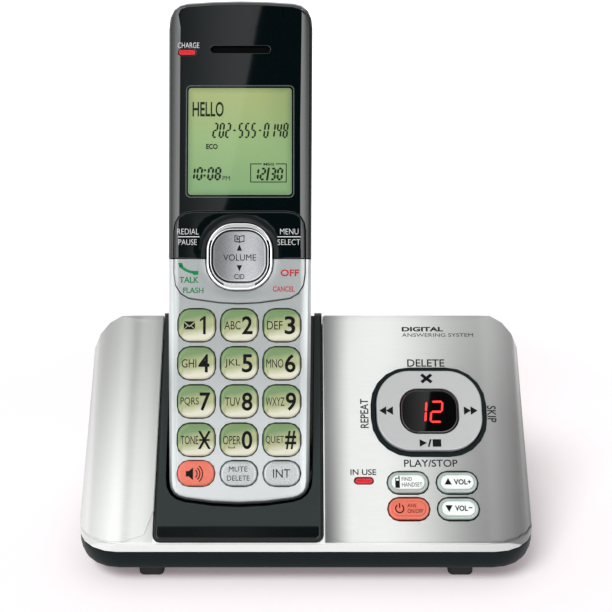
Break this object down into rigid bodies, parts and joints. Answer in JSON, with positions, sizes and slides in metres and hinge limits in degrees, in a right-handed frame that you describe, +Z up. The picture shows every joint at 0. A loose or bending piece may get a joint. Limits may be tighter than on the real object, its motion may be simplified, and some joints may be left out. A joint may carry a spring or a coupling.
{
  "type": "cordless telephone with answering base",
  "caption": "Cordless telephone handset standing in the sloping cradle of a desktop base with a message ring key and display.",
  "frame": {"origin": "on the desk, under the middle of the base", "axes": "+X to the right of someone facing the keys, +Y away from them to the back of the base, +Z up"},
  "size_m": [0.1544, 0.098, 0.1801],
  "materials": {
    "silver_plastic": "satin silver paint with fine brushing",
    "bright_silver": "satin pale silver paint",
    "dark_plastic": "satin blue-black",
    "slate_plastic": "matte slate",
    "gloss_black": "piano gloss",
    "black_rubber": "matte",
    "grey_rubber": "matte",
    "white_key": "satin",
    "orange_key": "satin",
    "lime_key": "translucent satin",
    "grey_key": "satin",
    "red_light": "clear red",
    "screen_green": "clear over a green display",
    "board_laminate": "satin lacquer",
    "jack_plastic": "satin",
    "contact_metal": "plated",
    "chrome": "mirror",
    "steel": "plain",
    "battery_sleeve": "shrunk sleeve"
  },
  "bodies": {
    "base": {"base_top_shell": "silver_plastic", "base_bottom_shell": "dark_plastic", "cradle_tray": "slate_plastic", "foot_front_left": "black_rubber", "foot_front_right": "black_rubber", "foot_back_left": "black_rubber", "foot_back_right": "black_rubber", "message_ring_bezel": "gloss_black", "message_window": "gloss_black", "message_display": "red_light", "in_use_light": "red_light", "base_key_mat": "grey_rubber", "base_circuit_board": "board_laminate", "jack_board": "board_laminate", "line_jack": "jack_plastic", "power_jack": "jack_plastic", "base_speaker": "steel", "charging_contact_left": "contact_metal", "charging_contact_right": "contact_metal"},
    "handset": {"handset_upper_front": "gloss_black", "handset_keypad_front": "bright_silver", "handset_back_case": "gloss_black", "battery_pack": "battery_sleeve", "screen_window": "screen_green", "handset_display": "screen_green", "earpiece_receiver": "dark_plastic", "charge_light": "red_light", "nav_ring": "chrome", "handset_key_mat": "grey_rubber", "handset_circuit_board": "board_laminate", "microphone": "steel", "handset_ringer": "steel", "charge_pad_left": "contact_metal", "charge_pad_right": "contact_metal"},
    "battery_cover": {"battery_cover": "gloss_black"},
    "message_ring_mat": {"message_ring_mat": "black_rubber"},
    "message_ring_key": {"message_ring_key": "silver_plastic"},
    "redial_menu_rocker": {"redial_menu_rocker": "gloss_black"},
    "talk_off_rocker": {"talk_off_rocker": "bright_silver"},
    "nav_key": {"nav_key": "silver_plastic"},
    "find_handset_key": {"find_handset_key": "white_key"},
    "answer_on_off_key": {"answer_on_off_key": "orange_key"},
    "volume_up_key": {"volume_up_key": "white_key"},
    "volume_down_key": {"volume_down_key": "white_key"},
    "key_1": {"key_1": "lime_key"},
    "key_2": {"key_2": "lime_key"},
    "key_3": {"key_3": "lime_key"},
    "key_4": {"key_4": "lime_key"},
    "key_5": {"key_5": "lime_key"},
    "key_6": {"key_6": "lime_key"},
    "key_7": {"key_7": "lime_key"},
    "key_8": {"key_8": "lime_key"},
    "key_9": {"key_9": "lime_key"},
    "key_star": {"key_star": "lime_key"},
    "key_0": {"key_0": "lime_key"},
    "key_pound": {"key_pound": "lime_key"},
    "speaker_key": {"speaker_key": "orange_key"},
    "mute_delete_key": {"mute_delete_key": "grey_key"},
    "intercom_key": {"intercom_key": "grey_key"}
  },
  "joints": [
    {"name": "handset_lift", "type": "slide", "parent": "base", "child": "handset", "axis": [0, 0.4226, 0.9063], "range_m": [0, 0.08]},
    {"name": "battery_cover_release", "type": "slide", "parent": "handset", "child": "battery_cover", "axis": [0, 0.9063, -0.4226], "range_m": [0, 0.02]},
    {"name": "message_ring_sideways", "type": "hinge", "parent": "base", "child": "message_ring_mat", "pos_m": [0.0423, -0.01452, 0.04535], "axis": [0, 0.682, 0.7314], "range_deg": [-1.5, 1.5], "stiffness_Nm_per_rad": 0.4},
    {"name": "message_ring_up_down", "type": "hinge", "parent": "message_ring_mat", "child": "message_ring_key", "pos_m": [0.0423, -0.01591, 0.04664], "axis": [1, 0, 0], "range_deg": [-1.5, 1.5], "stiffness_Nm_per_rad": 0.4},
    {"name": "redial_menu_rock", "type": "hinge", "parent": "handset", "child": "redial_menu_rocker", "pos_m": [-0.02245, 0.0026, 0.11115], "axis": [0, 0.4226, 0.9063], "range_deg": [-2.5, 2.5], "stiffness_Nm_per_rad": 0.2},
    {"name": "talk_off_rock", "type": "hinge", "parent": "handset", "child": "talk_off_rocker", "pos_m": [-0.02245, -0.0086, 0.08713], "axis": [0, 0.4226, 0.9063], "range_deg": [-2.5, 2.5], "stiffness_Nm_per_rad": 0.2},
    {"name": "nav_key_rock", "type": "hinge", "parent": "handset", "child": "nav_key", "pos_m": [-0.02245, -0.00195, 0.09926], "axis": [1, 0, 0], "range_deg": [-4, 4], "stiffness_Nm_per_rad": 0.1},
    {"name": "find_handset_key_press", "type": "slide", "parent": "base", "child": "find_handset_key", "axis": [0, 0.7314, -0.682], "range_m": [0, 0.0008], "stiffness_N_per_m": 1000},
    {"name": "answer_on_off_key_press", "type": "slide", "parent": "base", "child": "answer_on_off_key", "axis": [0, 0.7314, -0.682], "range_m": [0, 0.0008], "stiffness_N_per_m": 1000},
    {"name": "volume_up_key_press", "type": "slide", "parent": "base", "child": "volume_up_key", "axis": [0, 0.7314, -0.682], "range_m": [0, 0.0008], "stiffness_N_per_m": 1000},
    {"name": "volume_down_key_press", "type": "slide", "parent": "base", "child": "volume_down_key", "axis": [0, 0.7314, -0.682], "range_m": [0, 0.0008], "stiffness_N_per_m": 1000},
    {"name": "key_1_press", "type": "slide", "parent": "handset", "child": "key_1", "axis": [0, 0.9063, -0.4226], "range_m": [0, 0.0008], "stiffness_N_per_m": 1000},
    {"name": "key_2_press", "type": "slide", "parent": "handset", "child": "key_2", "axis": [0, 0.9063, -0.4226], "range_m": [0, 0.0008], "stiffness_N_per_m": 1000},
    {"name": "key_3_press", "type": "slide", "parent": "handset", "child": "key_3", "axis": [0, 0.9063, -0.4226], "range_m": [0, 0.0008], "stiffness_N_per_m": 1000},
    {"name": "key_4_press", "type": "slide", "parent": "handset", "child": "key_4", "axis": [0, 0.9063, -0.4226], "range_m": [0, 0.0008], "stiffness_N_per_m": 1000},
    {"name": "key_5_press", "type": "slide", "parent": "handset", "child": "key_5", "axis": [0, 0.9063, -0.4226], "range_m": [0, 0.0008], "stiffness_N_per_m": 1000},
    {"name": "key_6_press", "type": "slide", "parent": "handset", "child": "key_6", "axis": [0, 0.9063, -0.4226], "range_m": [0, 0.0008], "stiffness_N_per_m": 1000},
    {"name": "key_7_press", "type": "slide", "parent": "handset", "child": "key_7", "axis": [0, 0.9063, -0.4226], "range_m": [0, 0.0008], "stiffness_N_per_m": 1000},
    {"name": "key_8_press", "type": "slide", "parent": "handset", "child": "key_8", "axis": [0, 0.9063, -0.4226], "range_m": [0, 0.0008], "stiffness_N_per_m": 1000},
    {"name": "key_9_press", "type": "slide", "parent": "handset", "child": "key_9", "axis": [0, 0.9063, -0.4226], "range_m": [0, 0.0008], "stiffness_N_per_m": 1000},
    {"name": "key_star_press", "type": "slide", "parent": "handset", "child": "key_star", "axis": [0, 0.9063, -0.4226], "range_m": [0, 0.0008], "stiffness_N_per_m": 1000},
    {"name": "key_0_press", "type": "slide", "parent": "handset", "child": "key_0", "axis": [0, 0.9063, -0.4226], "range_m": [0, 0.0008], "stiffness_N_per_m": 1000},
    {"name": "key_pound_press", "type": "slide", "parent": "handset", "child": "key_pound", "axis": [0, 0.9063, -0.4226], "range_m": [0, 0.0008], "stiffness_N_per_m": 1000},
    {"name": "speaker_key_press", "type": "slide", "parent": "handset", "child": "speaker_key", "axis": [0, 0.9063, -0.4226], "range_m": [0, 0.0008], "stiffness_N_per_m": 1000},
    {"name": "mute_delete_key_press", "type": "slide", "parent": "handset", "child": "mute_delete_key", "axis": [0, 0.9063, -0.4226], "range_m": [0, 0.0008], "stiffness_N_per_m": 1000},
    {"name": "intercom_key_press", "type": "slide", "parent": "handset", "child": "intercom_key", "axis": [0, 0.9063, -0.4226], "range_m": [0, 0.0008], "stiffness_N_per_m": 1000}
  ]
}
